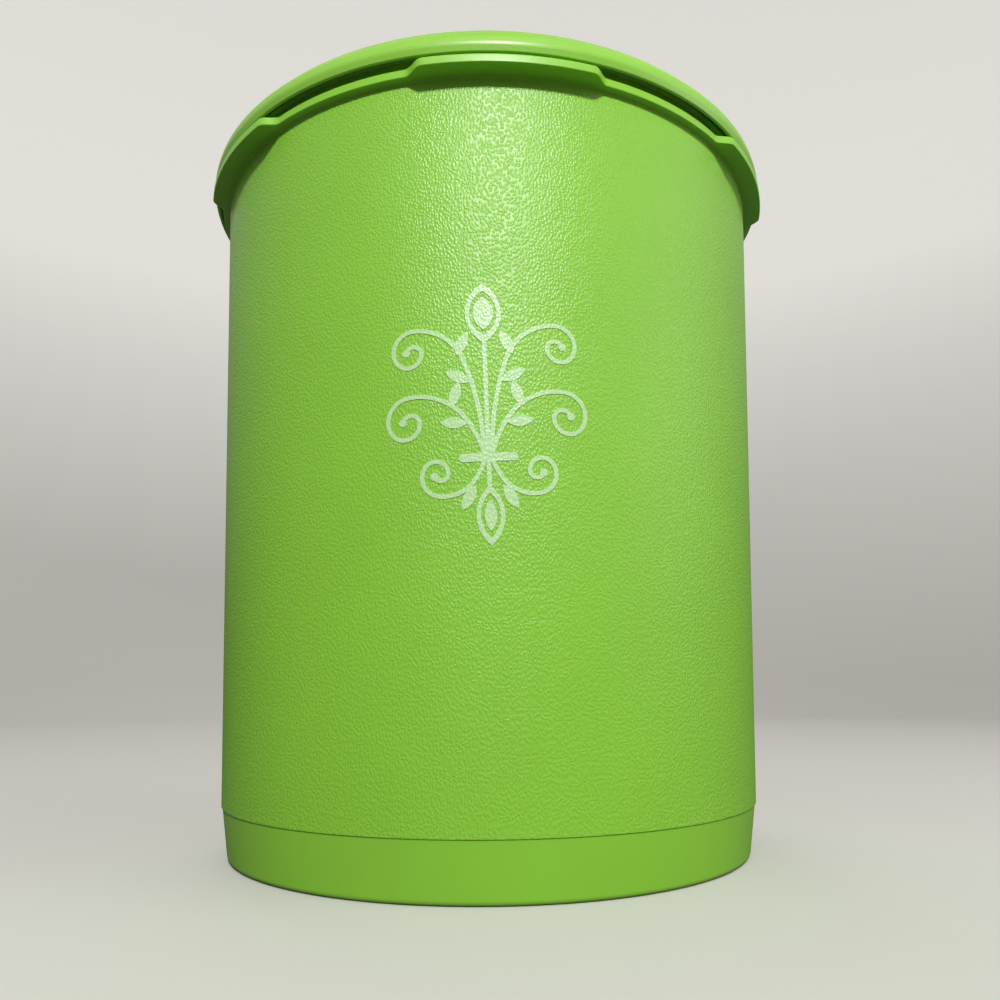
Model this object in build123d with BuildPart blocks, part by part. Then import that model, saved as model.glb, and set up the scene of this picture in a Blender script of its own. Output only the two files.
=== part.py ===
"""Round kitchen storage canister with a press-on lid, both moulded in one plastic.

Frame: millimetres, +Z up along the canister's axis, origin at the middle of the foot's rest plane.
The front, where the ornament is printed, faces -Y. Three pieces: canister_body, lid and
front_ornament. The lid lifts straight off along +Z.
"""

import os
from math import cos, radians, sin

from build123d import *

# ---- Canister: driving dimensions ----
wall_thickness = 2.0
band_height = 14.2  # smooth band above the foot
foot_radius = 76.4  # at the floor, before its corner is rounded
foot_corner = 1.4
foot_land = 4.0  # radial width of the ring that the canister stands on
foot_recess = 2.5  # the floor plate is lifted this far above the rest plane
foot_easing = 0.8  # rounding inside the foot ring
band_top_radius = 78.4
wall_foot_radius = 78.9  # the grained wall stands proud of the band
wall_rim_radius = 87.5  # outer wall under the flange
wall_step_easing = 0.2
floor_thickness = 2.4
floor_corner = 5.0  # inner radius between floor and wall
gate_radius = 4.0  # dimple round the moulding gate, under the floor
gate_depth = 0.6

# ---- Flange: six tabs between six finger notches ----
flange_bottom = 197.9
flange_thickness = 2.4
tab_radius = 92.9
notch_radius = 89.7
notch_count = 6
notch_angle = 29.4  # degrees, between the middles of its two sloping ends
notch_slope = 1.1  # degrees from the middle of a sloping end to each of its corners
notch_easing = 2.0  # plan rounding of the slopes' corners
tab_phase = 3.4  # degrees from the front to the middle of the first tab, towards +X
flange_root = 0.8  # the turned wall reaches this far into the flange

# ---- Neck: the rim that the lid closes over ----
neck_inner_radius = 86.0
neck_outer_radius = 87.8
neck_top = 206.3
neck_root = 0.6
neck_lip = 0.7  # rounding of the mouth's edges
bead_reach = 0.8  # the snap bead stands out this far from the neck
bead_height = 2.4
seat_height = 198.6  # the bore widens at this height to take the lid's plug

# ---- Lid: driving dimensions ----
lid_top = 210.7
lid_thickness = 2.2
skirt_bottom = 201.8
skirt_radius = 91.9  # at its lower edge
skirt_edge = 0.8  # thickness of the skirt's lower edge
skirt_easing = 0.25
bulge_radius = 92.6  # the lid's edge swells to its widest a little above its lower edge
bulge_height = 203.7
parting_height = 204.9  # fine step left where the two halves of the mould meet
parting_radius = 92.45
parting_step = 0.06
taper_radius = 92.2  # the edge starts to taper here
taper_height = 206.3
edge_easing = 3.0
shoulder_radius = 88.7  # the tapered edge meets the top here, before it is rounded
shoulder_easing = 1.6
skirt_root_radius = 88.9  # inner face of the skirt under the rim
rim_inner_radius = 84.8
rim_easing = 1.2
rim_root_easing = 0.6
plug_radius = 85.65
plug_bottom = 199.7
plug_easing = 1.5
panel_top = 201.7
panel_thickness = 1.6
panel_radius = 83.6  # the sunk panel meets the plug wall here
panel_corner = 2.6
panel_dish = 0.8  # the underside of the panel runs up to the plug over this width
press_radius = 31.0  # the disc that is pressed to seal the lid
press_ring_width = 2.6
press_ring_height = 1.3
press_ring_inner_easing = 0.7
press_ring_outer_easing = 0.9
press_root_easing = 0.4
press_drop = 0.5  # the disc's face sits this far below the panel

# ---- Lid: radial flutes that let the panel flex ----
flute_count = 48
flute_inner = 38.0  # radius of the centre of each flute's inner end
flute_outer = 78.6
flute_inner_width = 1.9
flute_outer_width = 4.2
flute_height = 0.9
flute_draft = 25.0  # degrees that a flute's sides lean in

# ---- Ornament: a printed sprig of scrolls and leaves that follows the wall ----
ornament_height = 99.1  # height of its tie above the rest plane
ornament_tilt = 2.1  # degrees that it leans towards -X
ink_thickness = 0.15
line_width = 1.05
tie_length = 14.0
tie_width = 2.0
stem_bottom = -7.0
stem_top = 28.5
scroll_end = 0.95  # radius of the drop in which each scroll ends
# Each scroll is its start, its heading in degrees and its bends, as (radius, degrees turned).
scrolls = (
    ((0.9, 0.0), 90, ((70, -20), (12.6, -70), (5.0, -120), (3.3, -150), (1.9, -165))),
    ((0.7, 0.0), 76, ((29, -20), (14.8, -62), (5.6, -115), (3.7, -150), (2.1, -165))),
    ((0.7, 0.0), -72, ((20, 16), (8.8, 66), (4.6, 110), (3.0, 150), (1.7, 160))),
)
# Each small leaf is its root and the direction in which it grows, in degrees from upright.
leaf_length = 6.4
leaf_half_width = 1.35
leaf_places = (
    ((3.9, 18.4), -62),
    ((6.8, 25.2), 26),
    ((4.7, 8.4), -86),
    ((8.4, 12.4), 18),
    ((3.3, -6.7), -150),
)
# Each bud is its root, its tip and its half width, on the middle line.
buds = ((28.0, 43.0, 4.3), (-6.6, -20.9, 3.3))
bud_belly = 0.45  # a bud is widest this far along
bud_gap = 1.9  # inset of the heart from the bud's outline
bud_point = 1.8  # an inset counts this many times over at a bud's points

floor_top = foot_recess + floor_thickness
flange_top = flange_bottom + flange_thickness
bead_radius = neck_outer_radius + bead_reach
bead_bottom = neck_top - bead_height
bore_rim_radius = wall_rim_radius - wall_thickness
bore_rim_height = seat_height - (neck_inner_radius - bore_rim_radius)
wall_taper = (wall_rim_radius - wall_foot_radius) / (flange_bottom - band_height)
bore_floor_radius = wall_foot_radius - wall_thickness + wall_taper * (floor_top - band_height)


def ease(section, radius, *corners):
    """Rounds the corners of a section that lie at these (radius, height) points."""
    for corner in corners:
        fillet(section.vertices().sort_by_distance(Vector(*corner))[0], radius)


# ---- Canister body ----
# One finger notch in plan, centred on +X, with sloping ends that run out past the tabs.
inner_half = notch_angle / 2 - notch_slope
outer_half = notch_angle / 2 + notch_slope
with BuildSketch() as notch_plan:
    with BuildLine():
        floor_arc = CenterArc((0, 0), notch_radius, -inner_half, 2 * inner_half)
        mouth_radius = 2 * tab_radius - notch_radius
        mouth_half = outer_half + 2 * notch_slope
        mouth_arc = CenterArc((0, 0), mouth_radius, -mouth_half, 2 * mouth_half)
        Line(floor_arc @ 0, mouth_arc @ 0)
        Line(floor_arc @ 1, mouth_arc @ 1)
    make_face()

first_notch = tab_phase - 90 + 180 / notch_count
with BuildSketch(Plane.XY.offset(flange_bottom)) as flange_plan:
    Circle(tab_radius)
    with PolarLocations(0, notch_count, start_angle=first_notch):
        add(notch_plan.sketch, mode=Mode.SUBTRACT)
    fillet(flange_plan.vertices(), notch_easing)
    Circle(neck_outer_radius - wall_thickness / 2, mode=Mode.SUBTRACT)

with BuildPart() as canister_body:
    with BuildSketch(Plane.XZ) as body_section:
        with BuildLine():
            Polyline(
                (0, foot_recess),
                (foot_radius - foot_land, foot_recess),
                (foot_radius - foot_land, 0),
                (foot_radius, 0),
                (band_top_radius, band_height),
                (wall_foot_radius, band_height),
                (wall_rim_radius, flange_bottom),
                (neck_outer_radius + flange_root, flange_bottom),
                (neck_outer_radius + flange_root, flange_top),
                (neck_outer_radius, flange_top),
                (neck_outer_radius, bead_bottom),
                (bead_radius, bead_bottom + bead_reach),
                (bead_radius, neck_top),
                (neck_inner_radius, neck_top),
                (neck_inner_radius, seat_height),
                (bore_rim_radius, bore_rim_height),
                (bore_floor_radius, floor_top),
                (0, floor_top),
                close=True,
            )
        make_face()
        ease(body_section, foot_corner, (foot_radius, 0))
        ease(body_section, foot_easing, (foot_radius - foot_land, 0))
        ease(body_section, foot_easing, (foot_radius - foot_land, foot_recess))
        ease(body_section, wall_step_easing, (wall_foot_radius, band_height))
        ease(body_section, neck_root, (neck_outer_radius, flange_top))
        ease(body_section, neck_lip, (bead_radius, neck_top), (neck_inner_radius, neck_top))
        ease(body_section, floor_corner, (bore_floor_radius, floor_top))
    revolve(axis=Axis.Z)
    extrude(to_extrude=flange_plan.sketch, amount=flange_thickness)
    with Locations((0, 0, foot_recess)):
        Cylinder(
            gate_radius,
            gate_depth,
            align=(Align.CENTER, Align.CENTER, Align.MIN),
            mode=Mode.SUBTRACT,
        )

# ---- Lid ----
panel_bottom = panel_top - panel_thickness
press_face = panel_top - press_drop
press_ring_top = panel_top + press_ring_height
press_ring_radius = press_radius + press_ring_width
skirt_inner_radius = skirt_radius - skirt_edge
rim_underside = lid_top - lid_thickness
plug_foot_radius = panel_radius - panel_corner

# One flute in plan, along +X: two round ends joined by their tangents.
with BuildSketch() as flute_plan:
    for end_radius, end_width in ((flute_inner, flute_inner_width), (flute_outer, flute_outer_width)):
        with Locations((end_radius, 0)):
            Circle(end_width / 2)
    make_hull()

with BuildSketch(Plane.XY.offset(panel_top)) as flute_ring:
    with PolarLocations(0, flute_count):
        add(flute_plan.sketch)

with BuildPart() as lid:
    with BuildSketch(Plane.XZ) as lid_section:
        with BuildLine():
            Polyline(
                (0, press_face),
                (press_radius, press_face),
                (press_radius, press_ring_top),
                (press_ring_radius, press_ring_top),
                (press_ring_radius, panel_top),
                (panel_radius, panel_top),
                (rim_inner_radius, lid_top),
                (shoulder_radius, lid_top),
                (taper_radius, taper_height),
                (parting_radius - parting_step, parting_height),
                (parting_radius, parting_height),
                (bulge_radius, bulge_height),
                (skirt_radius, skirt_bottom),
                (skirt_inner_radius, skirt_bottom),
                (skirt_root_radius, rim_underside),
                (plug_radius, rim_underside),
                (plug_radius, plug_bottom),
                (plug_foot_radius, plug_bottom),
                (plug_foot_radius - panel_dish, panel_bottom),
                (press_radius, panel_bottom),
                (press_radius - press_drop, panel_bottom - press_drop),
                (0, panel_bottom - press_drop),
                close=True,
            )
        make_face()
        ease(lid_section, press_ring_inner_easing, (press_radius, press_ring_top))
        ease(lid_section, press_ring_outer_easing, (press_ring_radius, press_ring_top))
        ease(lid_section, press_root_easing, (press_ring_radius, panel_top), (press_radius, press_face))
        ease(lid_section, panel_corner, (panel_radius, panel_top))
        ease(lid_section, rim_easing, (rim_inner_radius, lid_top))
        ease(lid_section, shoulder_easing, (shoulder_radius, lid_top))
        ease(lid_section, edge_easing, (taper_radius, taper_height), (bulge_radius, bulge_height))
        ease(lid_section, plug_easing, (plug_radius, plug_bottom))
        ease(lid_section, rim_root_easing, (plug_radius, rim_underside))
        ease(lid_section, rim_root_easing, (skirt_root_radius, rim_underside))
        ease(lid_section, skirt_easing, (skirt_radius, skirt_bottom), (skirt_inner_radius, skirt_bottom))
    revolve(axis=Axis.Z)
    extrude(to_extrude=flute_ring.sketch, amount=flute_height, taper=flute_draft)

# ---- Ornament ----
with BuildSketch() as leaf:
    with BuildLine():
        ThreePointArc((0, 0), (leaf_half_width, leaf_length / 2), (0, leaf_length))
        ThreePointArc((0, leaf_length), (-leaf_half_width, leaf_length / 2), (0, 0))
    make_face()


def bud_outline(root, tip, half_width, inset):
    """Draws a pointed bud from root to tip on the middle line, drawn in all round by inset."""
    inset_along = inset * (tip - root) / abs(tip - root) * bud_point
    low, high = root + inset_along, tip - inset_along
    belly = root + bud_belly * (tip - root)
    ThreePointArc((0, low), (half_width - inset, belly), (0, high))
    ThreePointArc((0, high), (inset - half_width, belly), (0, low))


with BuildSketch(Plane.XY.rotated((0, 0, ornament_tilt))) as ornament_plan:
    for start, heading, bends in scrolls:
        with BuildLine():
            point = Vector(*start)
            direction = Vector(cos(radians(heading)), sin(radians(heading)))
            for radius, turn in bends:
                bend = JernArc(point, direction, radius, turn)
                point, direction = bend @ 1, bend % 1
        trace(line_width=line_width)
        with Locations(point):
            Circle(scroll_end)
    for root, turn in leaf_places:
        with Locations(Location((*root, 0), (0, 0, turn))):
            add(leaf.sketch)
    mirror(about=Plane.YZ)
    with Locations((0, (stem_bottom + stem_top) / 2)):
        Rectangle(line_width, stem_top - stem_bottom)
    SlotOverall(tie_length, tie_width)
    for root, tip, half_width in buds:
        for inset, mode in ((0, Mode.ADD), (line_width, Mode.SUBTRACT), (bud_gap, Mode.ADD)):
            with BuildLine():
                bud_outline(root, tip, half_width, inset)
            make_face(mode=mode)

front_plane = Plane((0, 0, ornament_height), x_dir=(1, 0, 0), z_dir=(0, -1, 0))
with BuildPart() as front_ornament:
    with BuildSketch(front_plane):
        add(ornament_plan.sketch)
    extrude(amount=tab_radius)
    # Keep only what lies in the thin cone of ink on the wall.
    with BuildSketch(Plane.XZ):
        with BuildLine():
            Polyline(
                (wall_foot_radius, band_height),
                (wall_foot_radius + ink_thickness, band_height),
                (wall_rim_radius + ink_thickness, flange_bottom),
                (wall_rim_radius, flange_bottom),
                close=True,
            )
        make_face()
    revolve(axis=Axis.Z, mode=Mode.INTERSECT)

os.makedirs("parts", exist_ok=True)
for piece, name in (
    (canister_body, "canister_body"),
    (lid, "lid"),
    (front_ornament, "front_ornament"),
):
    piece.part.label = name
    export_step(piece.part, f"parts/{name}.step")
    print(name, len(piece.part.solids()), "solids", round(piece.part.volume), "mm3")
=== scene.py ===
# %% [markdown]
# # A kitchen canister with a press-on lid
# The object is two injection mouldings in one green polyethylene, and a print on the front. The CAD
# model gives the sizes and how the lid lifts off. This lesson remakes its surfaces finely enough to be
# looked at closely: eased edges, a scalloped flange, radial flutes, and a grain that runs over the wall.
# Everything is in metres, with +Z up and the front facing -Y, as in the CAD model.

# %% Load the frame
from math import atan2, ceil, cos, pi, radians, sin, tan

import bmesh
import bpy
from mathutils import Matrix, Vector


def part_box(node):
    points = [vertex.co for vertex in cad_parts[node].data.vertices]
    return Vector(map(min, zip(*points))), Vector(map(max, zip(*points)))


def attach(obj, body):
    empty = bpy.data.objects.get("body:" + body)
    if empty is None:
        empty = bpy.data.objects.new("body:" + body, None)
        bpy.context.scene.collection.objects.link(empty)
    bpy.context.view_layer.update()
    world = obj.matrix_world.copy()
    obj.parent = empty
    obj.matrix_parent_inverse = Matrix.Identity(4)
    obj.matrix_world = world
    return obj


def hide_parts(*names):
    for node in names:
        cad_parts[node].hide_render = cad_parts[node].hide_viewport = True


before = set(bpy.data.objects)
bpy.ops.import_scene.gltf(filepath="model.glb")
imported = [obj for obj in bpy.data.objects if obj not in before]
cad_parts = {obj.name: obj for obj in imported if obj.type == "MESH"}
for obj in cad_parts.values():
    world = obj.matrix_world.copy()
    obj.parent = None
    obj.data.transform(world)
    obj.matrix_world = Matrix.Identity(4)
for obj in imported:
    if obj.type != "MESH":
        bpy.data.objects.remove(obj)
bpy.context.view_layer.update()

MM = 0.001
body_low, body_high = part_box("canister_body")
lid_low, lid_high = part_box("lid")
sprig_low, sprig_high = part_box("front_ornament")
for label, low, high in (
    ("canister", body_low, body_high),
    ("lid", lid_low, lid_high),
    ("sprig", sprig_low, sprig_high),
):
    print(label, "CAD box, mm:", [round(side / MM, 1) for side in high - low])

# %% [markdown]
# ## Helpers
# Colours are written as sRGB hex values, as a colour picker shows them. Shaders work in linear light, so
# one function converts them. Another adds a node, sets it up and links it, for shader and geometry trees
# alike.


# %% Colour and node helpers
def linear(hex_colour):
    """An sRGB hex colour, such as "87c34a", as linear red, green, blue and alpha."""
    channels = [int(hex_colour[i : i + 2], 16) / 255 for i in (0, 2, 4)]
    return (*[c / 12.92 if c <= 0.04045 else ((c + 0.055) / 1.055) ** 2.4 for c in channels], 1.0)


def add_node(tree, kind, inputs=None, **settings):
    """Adds a node. An input, by name or place, takes a value, a socket or another node's first output."""
    node = tree.nodes.new(kind)
    for name, value in settings.items():
        setattr(node, name, value)
    for key, value in (inputs or {}).items():
        if isinstance(value, bpy.types.Node):
            value = value.outputs[0]
        if isinstance(value, bpy.types.NodeSocket):
            tree.links.new(value, node.inputs[key])
        else:
            node.inputs[key].default_value = value
    return node


print("middle grey in linear light:", round(linear("808080")[0], 3))

# %% [markdown]
# ## Camera
# The view is from low and close. The eye is not quite a quarter of the way up the canister and a little
# over a quarter of a metre from its axis, and it looks up by 12 degrees. That closeness is what makes
# the rim look so much wider than the foot. A camera looks along its own -Z, so its matrix is built from
# the view direction.

# %% Camera
camera_place = Vector((0.0, -270.9, 47.5)) * MM
camera_pitch, camera_yaw, camera_roll = radians(12.39), radians(0.79), radians(-0.37)

level_forward = Vector((sin(camera_yaw), cos(camera_yaw), 0.0))
forward = cos(camera_pitch) * level_forward + Vector((0.0, 0.0, sin(camera_pitch)))
level_right = Vector((cos(camera_yaw), -sin(camera_yaw), 0.0))
level_up = level_right.cross(forward)
right = cos(camera_roll) * level_right + sin(camera_roll) * level_up
up = cos(camera_roll) * level_up - sin(camera_roll) * level_right

camera = bpy.data.objects.new("camera", bpy.data.cameras.new("camera"))
bpy.context.scene.collection.objects.link(camera)
camera.data.sensor_width = 36.0
camera.data.lens = 29.96
camera.data.clip_start = 0.005
camera.matrix_world = Matrix.Translation(camera_place) @ Matrix((right, up, -forward)).transposed().to_4x4()
bpy.context.scene.camera = camera
bpy.context.scene.view_settings.view_transform = "Standard"
print("camera distance from the axis, mm:", round(-camera_place.y / MM))

# %% [markdown]
# ## Turned profiles
# Both mouldings are round, so each starts as half a cross-section: corners given as radius, height and
# the radius of the easing there, in millimetres. `eased` turns every corner into a short arc. It also
# puts a point close to each end of an arc, where the straight stretch begins. Smooth shading blends
# normals from point to point, and those extra points keep the blend inside the arc, so flat stretches
# shade flat.


# %% Eased profiles
def eased(corners, support=0.2, quarter_steps=4):
    """Points in metres along a profile of (radius, height, easing) corners; the ends are left as they are."""
    points = [Vector(corners[0][:2])]
    for before, (r, z, easing), after in zip(corners, corners[1:], corners[2:]):
        corner = Vector((r, z))
        back, ahead = Vector(before[:2]) - corner, Vector(after[:2]) - corner
        shortest = min(back.length, ahead.length)
        back.normalize()
        ahead.normalize()
        turn = pi - back.angle(ahead)
        reach = min(easing * tan(turn / 2), 0.45 * shortest)
        radius = reach / tan(turn / 2)
        centre = corner + (back + ahead).normalized() * radius / cos(turn / 2)
        spoke = corner + back * reach - centre
        side = 1 if back.cross(ahead) < 0 else -1
        steps = max(2, ceil(quarter_steps * turn / (pi / 2)))
        if (corner - Vector(before[:2])).length > 3 * support + reach:
            points.append(corner + back * (reach + support))
        for i in range(steps + 1):
            points.append(centre + Matrix.Rotation(side * turn * i / steps, 2) @ spoke)
        if (Vector(after[:2]) - corner).length > 3 * support + reach:
            points.append(corner + ahead * (reach + support))
    points.append(Vector(corners[-1][:2]))
    return [(p.x * MM, 0.0, p.y * MM) for p in points]


print("points in one eased corner, with its ends:", len(eased([(10, 0, 0), (10, 10, 2), (0, 10, 0)])))

# %% [markdown]
# ## A lathe in Geometry Nodes
# Turning a profile round an axis follows a rule, so a node group does it. It makes a grid with one row
# for each profile point and one column for each step round the axis, looks up every vertex's profile
# point by its row, and turns that point round Z by its column's angle. Merging by distance closes the
# seam and the two poles. Screw modifiers turn profiles too, but a group can be used inside larger trees,
# as the next ones do.

# %% Lathe group
lathe = bpy.data.node_groups.new("lathe", "GeometryNodeTree")
lathe.interface.new_socket("Profile", in_out="INPUT", socket_type="NodeSocketGeometry")
lathe.interface.new_socket("Segments", in_out="INPUT", socket_type="NodeSocketInt")
lathe.interface.new_socket("Turned", in_out="OUTPUT", socket_type="NodeSocketGeometry")
given = add_node(lathe, "NodeGroupInput")
size = add_node(lathe, "GeometryNodeAttributeDomainSize", {0: given.outputs["Profile"]})
rows = size.outputs["Point Count"]
columns = add_node(lathe, "ShaderNodeMath", {0: given.outputs["Segments"], 1: 1.0})
grid = add_node(lathe, "GeometryNodeMeshGrid", {"Vertices X": columns, "Vertices Y": rows})
index = add_node(lathe, "GeometryNodeInputIndex")
row = add_node(lathe, "ShaderNodeMath", {0: index, 1: rows}, operation="MODULO")
column = add_node(lathe, "ShaderNodeMath", {0: index, 1: rows}, operation="DIVIDE")
column = add_node(lathe, "ShaderNodeMath", {0: column}, operation="FLOOR")
turn = add_node(lathe, "ShaderNodeMath", {0: column, 1: given.outputs["Segments"]}, operation="DIVIDE")
turn = add_node(lathe, "ShaderNodeMath", {0: turn, 1: 2 * pi}, operation="MULTIPLY")
place = add_node(lathe, "GeometryNodeInputPosition")
sample = add_node(
    lathe,
    "GeometryNodeSampleIndex",
    {"Geometry": given.outputs["Profile"], "Value": place, "Index": row},
    data_type="FLOAT_VECTOR",
)
turned_place = add_node(
    lathe, "ShaderNodeVectorRotate", {"Vector": sample, "Angle": turn}, rotation_type="Z_AXIS"
)
moved = add_node(lathe, "GeometryNodeSetPosition", {"Geometry": grid, "Position": turned_place})
closed = add_node(lathe, "GeometryNodeMergeByDistance", {"Geometry": moved, "Distance": 0.001 * MM})
smooth = add_node(lathe, "GeometryNodeSetShadeSmooth", {"Geometry": closed, "Shade Smooth": True})
add_node(lathe, "NodeGroupOutput", {"Turned": smooth})
print("lathe group nodes:", len(lathe.nodes))


# %% [markdown]
# A profile is a chain of edges in an object of its own. `turned_piece` puts a tree on it as a modifier,
# sets the tree's inputs by the sockets' identifiers, and swaps the evaluated result in as a plain mesh,
# so that no modifier is left on the finished piece.


# %% From profile to finished mesh
def tree_with(name, **inputs):
    """A new geometry tree with named number inputs, and its input node."""
    tree = bpy.data.node_groups.new(name, "GeometryNodeTree")
    tree.interface.new_socket("Geometry", in_out="INPUT", socket_type="NodeSocketGeometry")
    tree.interface.new_socket("Geometry", in_out="OUTPUT", socket_type="NodeSocketGeometry")
    for label, value in inputs.items():
        kind = "NodeSocketInt" if isinstance(value, int) else "NodeSocketFloat"
        socket = tree.interface.new_socket(label, in_out="INPUT", socket_type=kind)
        socket.default_value = value
    return tree, add_node(tree, "NodeGroupInput")


def lathed(tree, given):
    """The lathe group, fed from a tree's input node."""
    turned = add_node(tree, "GeometryNodeGroup", node_tree=lathe)
    tree.links.new(given.outputs["Geometry"], turned.inputs["Profile"])
    tree.links.new(given.outputs["Segments"], turned.inputs["Segments"])
    return turned


def turned_piece(name, profile, tree, **inputs):
    """Runs a tree on a profile, or on any chain of points, and keeps the result as one plain mesh."""
    chain = bpy.data.meshes.new(name + "_profile")
    chain.from_pydata(profile, [(i, i + 1) for i in range(len(profile) - 1)], [])
    holder = bpy.data.objects.new(name + "_profile", chain)
    bpy.context.scene.collection.objects.link(holder)
    modifier = holder.modifiers.new("tree", "NODES")
    modifier.node_group = tree
    for socket in tree.interface.items_tree:
        if socket.in_out == "INPUT" and socket.name in inputs:
            modifier[socket.identifier] = inputs[socket.name]
    evaluated = holder.evaluated_get(bpy.context.evaluated_depsgraph_get())
    mesh = bpy.data.meshes.new_from_object(evaluated)
    mesh.name = name
    piece = bpy.data.objects.new(name, mesh)
    bpy.context.scene.collection.objects.link(piece)
    bpy.data.objects.remove(holder)
    triangles = sum(len(face.vertices) - 2 for face in mesh.polygons)
    print(name, "profile points:", len(profile), "triangles:", triangles)
    return piece


print("ready to turn profiles with the group:", lathe.name)

# %% [markdown]
# ## Moulded polyethylene
# The plastic is low-density polyethylene, coloured through. Fresh from a polished mould it is smooth and
# a little waxy: an even gloss that is never sharp. Light goes a millimetre into it, which keeps its
# shadows green, so the shader has some subsurface weight. Years of use leave fine scuffs that catch the
# light here and there. They are noise on the roughness and a shallow bump. All patterns read Object
# coordinates, so they keep their real size.

# %% Smooth plastic
GREEN = "83bf36"  # the grained wall
# A little lighter than the wall's green, though it is the same plastic: painted light, to brighten the smooth
# band, which leans down away from the key light.
SMOOTH_GREEN_WITH_PAINTED_LIGHT = "87c439"
# Lighter than the wall's green, though it is the same plastic: painted light, for the lid's edge, which
# stands nearer the key light and faces it more directly.
LID_GREEN_WITH_PAINTED_LIGHT = "8cc544"
SCUFF_SIZE = 3.0 * MM
SCUFF_DEPTH = 0.03 * MM
MOTTLE_SIZE = 40.0 * MM


def moulded_polyethylene(name, colour, roughness):
    """A material for smooth moulded plastic. Returns it with its shader and its Object coordinates."""
    material = bpy.data.materials.new(name)
    material.use_nodes = True
    tree = material.node_tree
    tree.nodes.clear()
    place = add_node(tree, "ShaderNodeTexCoord").outputs["Object"]
    mottle = add_node(tree, "ShaderNodeTexNoise", {"Vector": place, "Scale": 1 / MOTTLE_SIZE, "Detail": 3.0})
    value = add_node(tree, "ShaderNodeMapRange", {0: mottle, 3: 0.93, 4: 1.07})
    tint = add_node(tree, "ShaderNodeHueSaturation", {"Color": linear(colour), "Value": value})
    scuffs = add_node(tree, "ShaderNodeTexNoise", {"Vector": place, "Scale": 1 / SCUFF_SIZE, "Detail": 6.0})
    polished, worn = roughness - 0.02, roughness + 0.05
    gloss = add_node(tree, "ShaderNodeMapRange", {0: scuffs, 1: 0.35, 2: 0.7, 3: polished, 4: worn})
    bump = add_node(tree, "ShaderNodeBump", {"Height": scuffs, "Strength": 0.2, "Distance": SCUFF_DEPTH})
    shader = add_node(
        tree,
        "ShaderNodeBsdfPrincipled",
        {
            "Base Color": tint,
            "Roughness": gloss,
            "Normal": bump,
            "IOR": 1.51,
            "Subsurface Weight": 0.12,
            "Subsurface Radius": (0.6, 1.0, 0.3),
            "Subsurface Scale": 1.5 * MM,
        },
    )
    add_node(tree, "ShaderNodeOutputMaterial", {"Surface": shader})
    return material, shader, place


smooth_plastic, _, _ = moulded_polyethylene("smooth_moulded_polyethylene", SMOOTH_GREEN_WITH_PAINTED_LIGHT, 0.38)
lid_plastic, _, _ = moulded_polyethylene("smooth_moulded_lid_polyethylene", LID_GREEN_WITH_PAINTED_LIGHT, 0.36)
print("plastics:", smooth_plastic.name, lid_plastic.name)

# %% [markdown]
# ## Pebble grain
# The wall's mould was etched with a leather-like pebble grain: low, rounded grains under a millimetre
# across, with narrow valleys between them. The pattern lies on the wall unrolled: millimetres round it
# and millimetres up it, with the two ends meeting at the back. A Voronoi pattern gives each point its
# distance to the nearest of a field of seeds, and a smooth step turns that into domes. Squeezing the
# height makes the domes stand taller than they are wide, and bending the coordinates with noise makes
# them swirl. The relief is only some hundredths of a millimetre, far too fine for geometry: it is a
# bump. A few specks of dirt sit in the grain: where a seed of a second, much wider field happens to lie
# in the wall's surface, it leaves a dark dot.

# %% Grained plastic
PEBBLE = 0.72 * MM
SQUEEZE = 0.7  # a dome's width over its height
PEBBLE_EDGE = 0.62  # where a dome ends, in pebbles from its seed
RELIEF = 0.075 * MM
BEND_SIZE = 5 * PEBBLE
BEND_REACH = 2 * PEBBLE
WALL_MIDDLE_RADIUS = 83 * MM
SPECK_SPACING = 14.0 * MM
SPECK_RADIUS = 0.22 * MM
SPECK_COLOUR = "4b4a1f"


def pebble_grain(tree, place):
    """The height of the moulded grain, from 0 in its valleys to 1 on its domes."""
    parts = add_node(tree, "ShaderNodeSeparateXYZ", {0: place})
    forwards = add_node(tree, "ShaderNodeMath", {0: parts.outputs["Y"], 1: -1.0}, operation="MULTIPLY")
    angle = add_node(tree, "ShaderNodeMath", {0: parts.outputs["X"], 1: forwards}, operation="ARCTAN2")
    around = add_node(tree, "ShaderNodeMath", {0: angle, 1: WALL_MIDDLE_RADIUS}, operation="MULTIPLY")
    height = add_node(tree, "ShaderNodeMath", {0: parts.outputs["Z"], 1: SQUEEZE}, operation="MULTIPLY")
    unrolled = add_node(tree, "ShaderNodeCombineXYZ", {0: around, 1: height})
    wander = add_node(tree, "ShaderNodeTexNoise", {"Vector": place, "Scale": 1 / BEND_SIZE, "Detail": 1.0})
    bent = add_node(
        tree,
        "ShaderNodeVectorMath",
        {0: wander.outputs["Color"], 1: (BEND_REACH,) * 3, 2: unrolled},
        operation="MULTIPLY_ADD",
    )
    cells = add_node(
        tree,
        "ShaderNodeTexVoronoi",
        {"Vector": bent, "Scale": 1 / PEBBLE, "Randomness": 0.85},
        voronoi_dimensions="2D",
    )
    return add_node(
        tree,
        "ShaderNodeMapRange",
        {0: cells, 1: 0.0, 2: PEBBLE_EDGE, 3: 1.0, 4: 0.0},
        interpolation_type="SMOOTHSTEP",
    )


grained_plastic, shader, place = moulded_polyethylene("pebble_grained_polyethylene", GREEN, 0.4)
tree = grained_plastic.node_tree
scuffed = shader.inputs["Normal"].links[0].from_socket
domes = pebble_grain(tree, place)
grain = add_node(tree, "ShaderNodeBump", {"Height": domes, "Distance": RELIEF, "Normal": scuffed})
tree.links.new(grain.outputs[0], shader.inputs["Normal"])

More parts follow.
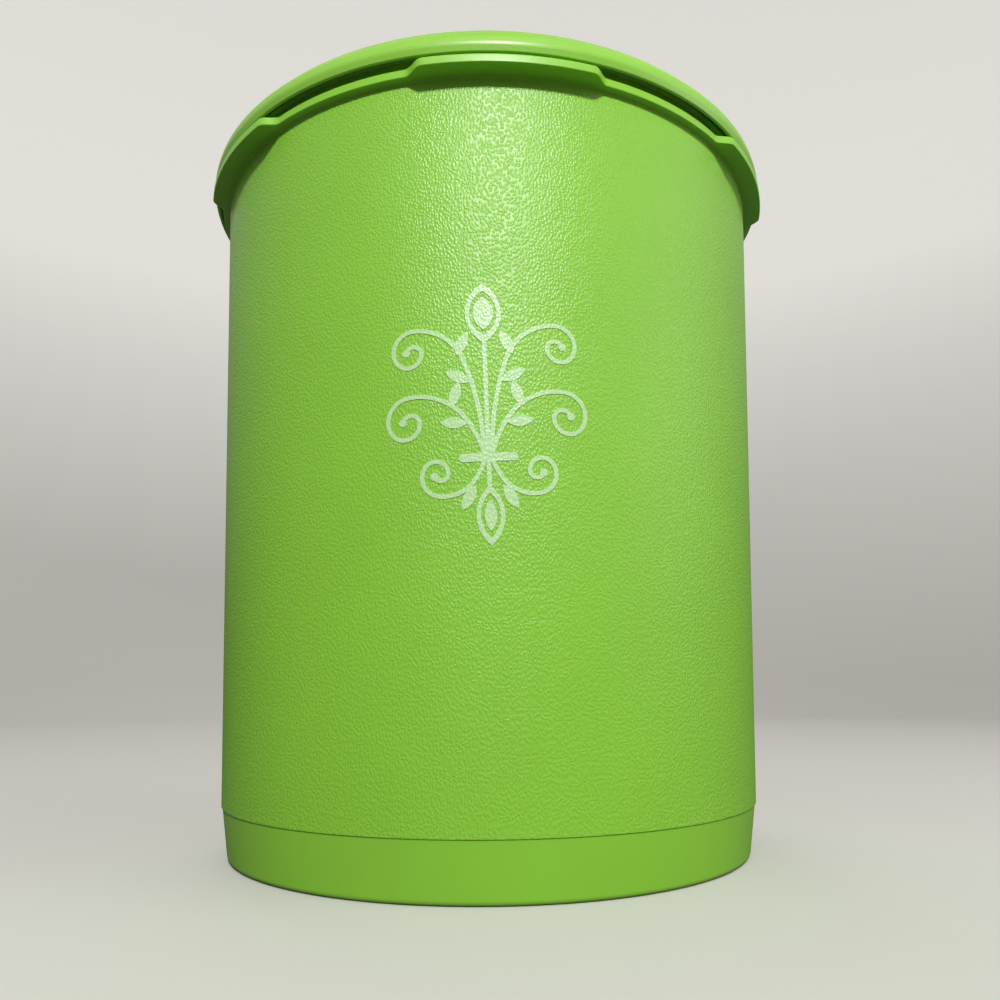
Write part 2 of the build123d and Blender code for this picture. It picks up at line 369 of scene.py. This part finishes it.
seeds = add_node(tree, "ShaderNodeTexVoronoi", {"Vector": place, "Scale": 1 / SPECK_SPACING})
speck = SPECK_RADIUS / SPECK_SPACING
dirt = add_node(tree, "ShaderNodeMapRange", {0: seeds, 1: 0.7 * speck, 2: speck, 3: 0.85, 4: 0.0})
clean = shader.inputs["Base Color"].links[0].from_socket
specked = add_node(
    tree, "ShaderNodeMix", {0: dirt, 6: clean, 7: linear(SPECK_COLOUR)}, data_type="RGBA"
)
tree.links.new(specked.outputs[2], shader.inputs["Base Color"])
print("pebbles per centimetre:", round(10 * MM / PEBBLE, 1))

# %% [markdown]
# ## Print ink
# The sprig on the front is a thin film of whitish ink, stamped on after moulding. It is smoother than
# the plastic but so thin that the grain shows through it, so it uses the same grain at the same place, a
# little flattened.

# %% Ink
INK = "b4dd9c"
INK_RELIEF = 0.6 * RELIEF
ink, shader, place = moulded_polyethylene("stamped_whitish_ink", INK, 0.34)
tree = ink.node_tree
domes = pebble_grain(tree, place)
grain = add_node(tree, "ShaderNodeBump", {"Height": domes, "Distance": INK_RELIEF})
tree.links.new(grain.outputs[0], shader.inputs["Normal"])
print("ink:", ink.name, "relief, mm:", round(INK_RELIEF / MM, 3))

# %% [markdown]
# ## The canister
# One moulding: a foot ring with a floor lifted inside it, a smooth band, the grained wall standing a
# little proud of the band, a flange, and above the flange the neck with the bead that the lid snaps
# over. The flange is scalloped: six tabs, and between them six finger notches for lifting the lid. The
# lathe gives a round flange. A second rule then draws it in: it wraps each vertex's angle into one
# period, a tab and a notch, and a smoothstep from tab to notch says how far to pull the rim towards the
# axis there.

# %% Canister profile
foot_radius, band_top, wall_top = 76.4, 14.2, 197.9
wall_foot_radius, wall_rim_radius = 78.9, 87.5
tab_radius, flange_top, neck_top = body_high.y / MM, 200.3, body_high.z / MM
canister_profile = eased(
    [
        (0, 3.1, 0),
        (4.0, 3.1, 0.15),
        (4.0, 2.5, 0.15),
        (foot_radius - 4, 2.5, 0.8),
        (foot_radius - 4, 0, 0.8),
        (foot_radius, 0, 1.4),
        (78.6, band_top, 0.1),
        (wall_foot_radius, band_top, 0.2),
        (wall_rim_radius, wall_top, 0.25),
        (tab_radius, wall_top, 0.3),
        (tab_radius, flange_top, 0.3),
        (87.8, flange_top, 0.6),
        (87.8, neck_top - 2.4, 0.2),
        (88.6, neck_top - 1.6, 0.3),
        (88.6, neck_top, 0.7),
        (86.0, neck_top, 0.7),
        (86.0, 198.6, 0.2),
        (85.5, 198.1, 0.2),
        (76.46, 4.9, 5.0),
        (0, 4.9, 0),
    ]
)
lean = atan2(wall_rim_radius - wall_foot_radius, wall_top - band_top)
print("the wall leans out by", round(lean * 180 / pi, 1), "degrees")

# %% Scalloped flange
tree, given = tree_with(
    "canister_tree",
    **{
        "Segments": 720,
        "Notches": 6,
        "Notch Depth": 3.2 * MM,
        "Tab Middle": 0.0,
        "Tab Half": 0.0,
        "Slope": 0.0,
    },
)
turned = lathed(tree, given)
place = add_node(tree, "GeometryNodeInputPosition")
parts = add_node(tree, "ShaderNodeSeparateXYZ", {0: place})
flat = add_node(tree, "ShaderNodeVectorMath", {0: place, 1: (1, 1, 0)}, operation="MULTIPLY")
radius = add_node(tree, "ShaderNodeVectorMath", {0: flat}, operation="LENGTH").outputs["Value"]
angle = add_node(tree, "ShaderNodeMath", {0: parts.outputs["Y"], 1: parts.outputs["X"]}, operation="ARCTAN2")
from_tab = add_node(tree, "ShaderNodeMath", {0: angle, 1: given.outputs["Tab Middle"]}, operation="SUBTRACT")
half_period = add_node(tree, "ShaderNodeMath", {0: pi, 1: given.outputs["Notches"]}, operation="DIVIDE")
other_half = add_node(tree, "ShaderNodeMath", {0: half_period, 1: -1.0}, operation="MULTIPLY")
local = add_node(tree, "ShaderNodeMath", {0: from_tab, 1: half_period, 2: other_half}, operation="WRAP")
away = add_node(tree, "ShaderNodeMath", {0: local}, operation="ABSOLUTE")
slope_start = add_node(
    tree, "ShaderNodeMath", {0: given.outputs["Tab Half"], 1: given.outputs["Slope"]}, operation="SUBTRACT"
)
slope_end = add_node(tree, "ShaderNodeMath", {0: given.outputs["Tab Half"], 1: given.outputs["Slope"]})
pull = add_node(
    tree,
    "ShaderNodeMapRange",
    {0: away, 1: slope_start, 2: slope_end, 4: given.outputs["Notch Depth"]},
    interpolation_type="SMOOTHSTEP",
)
on_rim = add_node(tree, "ShaderNodeMath", {0: radius, 1: (tab_radius - 2) * MM}, operation="GREATER_THAN")
inwards = add_node(tree, "ShaderNodeVectorMath", {0: flat}, operation="NORMALIZE")
inwards = add_node(tree, "ShaderNodeVectorMath", {0: inwards, "Scale": pull}, operation="SCALE")
inwards = add_node(tree, "ShaderNodeVectorMath", {0: inwards, 1: (-1, -1, -1)}, operation="MULTIPLY")
scalloped = add_node(
    tree, "GeometryNodeSetPosition", {"Geometry": turned, "Selection": on_rim, "Offset": inwards}
)
print("scallop nodes:", len(tree.nodes))

# %% [markdown]
# The same tree gives the faces their finish. Everything is smooth plastic, except the faces between band
# and flange that lie outside the bore: those get the grain.

# %% Canister finish and mesh
all_smooth = add_node(tree, "GeometryNodeSetMaterial", {"Geometry": scalloped, "Material": smooth_plastic})
above_band = add_node(
    tree, "ShaderNodeMath", {0: parts.outputs["Z"], 1: (band_top + 0.1) * MM}, operation="GREATER_THAN"
)
below_flange = add_node(
    tree, "ShaderNodeMath", {0: parts.outputs["Z"], 1: (wall_top - 0.6) * MM}, operation="LESS_THAN"
)
taper = (wall_rim_radius - wall_foot_radius) / (wall_top - band_top)
middle = add_node(
    tree,
    "ShaderNodeMath",
    {0: parts.outputs["Z"], 1: taper, 2: (wall_foot_radius - 1 - taper * band_top) * MM},
    operation="MULTIPLY_ADD",
)
outside = add_node(tree, "ShaderNodeMath", {0: radius, 1: middle}, operation="GREATER_THAN")
chosen = add_node(tree, "FunctionNodeBooleanMath", {0: above_band, 1: below_flange})
chosen = add_node(tree, "FunctionNodeBooleanMath", {0: chosen, 1: outside})
finished = add_node(
    tree,
    "GeometryNodeSetMaterial",
    {"Geometry": all_smooth, "Selection": chosen, "Material": grained_plastic},
)
realized = add_node(tree, "GeometryNodeRealizeInstances", {"Geometry": finished})
add_node(tree, "NodeGroupOutput", {0: realized})
canister = turned_piece(
    "moulded_canister",
    canister_profile,
    tree,
    **{"Tab Middle": radians(3.4 - 90), "Tab Half": radians(15.3), "Slope": radians(1.6)},
)

# %% [markdown]
# ## The lid
# A skirt that hangs over the neck, a flat rim, a plug that seals inside the mouth, and a sunk panel that
# flexes. The middle of the panel is a disc that is pressed to drive air out, and radial flutes round it
# let the panel bend. The lathe turns the profile, which has extra points across the panel, and the
# flutes are a rule again: each vertex's angle is wrapped into one flute's share of the circle, its
# distance from the flute's round-ended outline is worked out, and vertices inside the outline rise.

# %% Lid profile
lid_top, panel_top, skirt_bottom = lid_high.z / MM, 201.7, 201.8
flute_inner, flute_outer = 38.0, 78.6
flute_rows = [36.8, 37.15, 37.5, 38, 39, 42, 50, 60, 70, 76, 78.6, 79.4, 80.0, 80.4, 80.8]
lid_profile = eased(
    [
        (0, 199.6, 0),
        (30.5, 199.6, 0.2),
        (31, 200.1, 0.2),
        (80.2, 200.1, 0.2),
        (81.0, 199.7, 0.2),
        (85.65, 199.7, 1.5),
        (85.65, lid_top - 2.2, 0.6),
        (88.9, lid_top - 2.2, 0.6),
        (91.1, skirt_bottom, 0.25),
        (91.9, skirt_bottom, 0.25),
        (92.6, 203.7, 3.0),
        (92.45, 204.9, 0.02),
        (92.39, 204.9, 0.02),
        (92.2, 206.3, 3.0),
        (88.7, lid_top, 1.6),
        (84.8, lid_top, 1.2),
        (83.6, panel_top, 2.6),
        (33.6, panel_top, 0.4),
        (33.6, 203.0, 0.9),
        (31.0, 203.0, 0.7),
        (31.0, 201.2, 0.4),
        (0, 201.2, 0),
    ]
)
panel_start = next(
    i for i, p in enumerate(lid_profile) if p[0] < flute_outer * MM and p[2] > (panel_top - 0.1) * MM
)
lid_profile[panel_start:panel_start] = [(r * MM, 0, panel_top * MM) for r in reversed(flute_rows)]
print("rows of vertices across the flutes:", len(flute_rows))

# %% Flutes
tree, given = tree_with(
    "lid_tree", **{"Segments": 672, "Flutes": 48, "Flute Height": 0.9 * MM, "Side Width": 0.42 * MM}
)
turned = lathed(tree, given)
place = add_node(tree, "GeometryNodeInputPosition")
parts = add_node(tree, "ShaderNodeSeparateXYZ", {0: place})
flat = add_node(tree, "ShaderNodeVectorMath", {0: place, 1: (1, 1, 0)}, operation="MULTIPLY")
radius = add_node(tree, "ShaderNodeVectorMath", {0: flat}, operation="LENGTH").outputs["Value"]
angle = add_node(tree, "ShaderNodeMath", {0: parts.outputs["Y"], 1: parts.outputs["X"]}, operation="ARCTAN2")
half_share = add_node(tree, "ShaderNodeMath", {0: pi, 1: given.outputs["Flutes"]}, operation="DIVIDE")
other_half = add_node(tree, "ShaderNodeMath", {0: half_share, 1: -1.0}, operation="MULTIPLY")
local = add_node(tree, "ShaderNodeMath", {0: angle, 1: half_share, 2: other_half}, operation="WRAP")
across = add_node(tree, "ShaderNodeMath", {0: local, 1: radius}, operation="MULTIPLY")
nearest = add_node(
    tree,
    "ShaderNodeMapRange",
    {0: radius, 1: flute_inner * MM, 2: flute_outer * MM, 3: flute_inner * MM, 4: flute_outer * MM},
)
half_width = add_node(
    tree,
    "ShaderNodeMapRange",
    {0: radius, 1: flute_inner * MM, 2: flute_outer * MM, 3: 0.95 * MM, 4: 2.1 * MM},
)
along = add_node(tree, "ShaderNodeMath", {0: radius, 1: nearest}, operation="SUBTRACT")
offset = add_node(tree, "ShaderNodeCombineXYZ", {0: along, 1: across})
distance = add_node(tree, "ShaderNodeVectorMath", {0: offset}, operation="LENGTH").outputs["Value"]
depth_in = add_node(tree, "ShaderNodeMath", {0: half_width, 1: distance}, operation="SUBTRACT")
rise = add_node(
    tree,
    "ShaderNodeMapRange",
    {0: depth_in, 1: 0.0, 2: given.outputs["Side Width"], 4: given.outputs["Flute Height"]},
    interpolation_type="SMOOTHSTEP",
)
near_panel = add_node(
    tree, "ShaderNodeMath", {0: parts.outputs["Z"], 1: panel_top * MM, 2: 0.01 * MM}, operation="COMPARE"
)
lift = add_node(tree, "ShaderNodeCombineXYZ", {2: rise})
fluted = add_node(
    tree, "GeometryNodeSetPosition", {"Geometry": turned, "Selection": near_panel, "Offset": lift}
)
finished = add_node(tree, "GeometryNodeSetMaterial", {"Geometry": fluted, "Material": lid_plastic})
realized = add_node(tree, "GeometryNodeRealizeInstances", {"Geometry": finished})
add_node(tree, "NodeGroupOutput", {0: realized})
lid = turned_piece("moulded_lid", lid_profile, tree)

# %% [markdown]
# ## The printed sprig
# The CAD model already holds the ink as a film on the wall's cone. Its mesh is loose triangles, so a
# copy is welded and shaded smooth, with its edges kept sharp, to lie on the wall as evenly as ink does.

# %% Sprig
sprig_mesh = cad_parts["front_ornament"].data.copy()
welder = bmesh.new()
welder.from_mesh(sprig_mesh)
bmesh.ops.remove_doubles(welder, verts=welder.verts, dist=0.002 * MM)
for face in welder.faces:
    face.smooth = True
for edge in welder.edges:
    edge.smooth = edge.calc_face_angle(0.0) < radians(40)
welder.to_mesh(sprig_mesh)
welder.free()
sprig = bpy.data.objects.new("printed_sprig", sprig_mesh)
bpy.context.scene.collection.objects.link(sprig)
sprig_mesh.materials.clear()
sprig_mesh.materials.append(ink)
print("sprig faces:", len(sprig_mesh.polygons))

# %% [markdown]
# ## Studio
# A plain pale floor that turns up into a round wall, so that there is no horizon from any side. The key
# light is in front and above, small enough to draw the flange's shadow on the wall. A wide soft light on
# the right and another behind lift the sides that the key misses. The world and the pale room fill in
# the rest.

# %% Floor
WALL_GLOW = 0.45
SEEN_GREY, FELT_GREY = "cfcdc8", "5c5b59"  # as the camera sees it, and as it lights the piece
stage_points = eased(
    [(0, 0, 0), (1900, 0, 1200), (2300, 2200, 900), (1000, 3000, 0)], support=20, quarter_steps=12
)
pale = bpy.data.materials.new("pale_backdrop")
pale.use_nodes = True
paint = pale.node_tree.nodes["Principled BSDF"]
paint.inputs["Roughness"].default_value = 0.9
paint.inputs["Emission Color"].default_value = linear("fffdf8")
seen = add_node(pale.node_tree, "ShaderNodeLightPath").outputs["Is Camera Ray"]
coat = add_node(
    pale.node_tree,
    "ShaderNodeMix",
    {0: seen, 6: linear(FELT_GREY), 7: linear(SEEN_GREY)},
    data_type="RGBA",
)
pale.node_tree.links.new(coat.outputs[2], paint.inputs["Base Color"])
room = add_node(pale.node_tree, "ShaderNodeTexCoord").outputs["Object"]
room_height = add_node(pale.node_tree, "ShaderNodeSeparateXYZ", {0: room}).outputs["Z"]
glow = add_node(pale.node_tree, "ShaderNodeMapRange", {0: room_height, 1: 0.05, 2: 1.2, 3: 0.0, 4: WALL_GLOW})
pale.node_tree.links.new(glow.outputs[0], paint.inputs["Emission Strength"])

tree, given = tree_with("floor_tree", Segments=96)
turned = lathed(tree, given)
painted = add_node(tree, "GeometryNodeSetMaterial", {"Geometry": turned, "Material": pale})
add_node(tree, "NodeGroupOutput", {0: painted})
floor = turned_piece("studio_floor", stage_points, tree)


# %% Lights
def area_light(name, azimuth, elevation, distance, width, power, glossy=True):
    """A square light that points at the canister; azimuth is from the front, towards +X.

    A light that isn't glossy lights surfaces evenly but leaves no reflection of itself on them.
    """
    lamp = bpy.data.lights.new(name, "AREA")
    lamp.size = width
    lamp.energy = power
    light = bpy.data.objects.new(name, lamp)
    light.visible_glossy = glossy
    aim = Vector((0, 0, 0.12))
    a, e = radians(azimuth), radians(elevation)
    light.location = aim + distance * Vector((sin(a) * cos(e), -cos(a) * cos(e), sin(e)))
    light.rotation_euler = (light.location - aim).to_track_quat("Z", "Y").to_euler()
    bpy.context.scene.collection.objects.link(light)


area_light("key", azimuth=4, elevation=31, distance=1.3, width=0.12, power=15.4)
area_light("fill", azimuth=75, elevation=15, distance=1.2, width=0.7, power=2.7)
area_light("back", azimuth=195, elevation=42, distance=1.4, width=0.9, power=4.0, glossy=False)
world = bpy.data.worlds.new("studio_world")
world.use_nodes = True
world.node_tree.nodes["Background"].inputs["Color"].default_value = (1, 1, 1, 1)
world.node_tree.nodes["Background"].inputs["Strength"].default_value = 0.05
bpy.context.scene.world = world

# %% [markdown]
# ## Hand the pieces to their bodies
# The canister and its print stay put and the lid lifts off. Each new piece stands for the CAD node it
# replaces.

# %% Bodies
for piece, body, node, slot in (
    (canister, "canister", "canister_body", "canister_plastic"),
    (lid, "lid", "lid", "lid_plastic"),
    (sprig, "canister", "front_ornament", "ornament_ink"),
):
    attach(piece, body)
    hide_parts(node)
    print(piece.name, "rides", body, "and stands for", node)
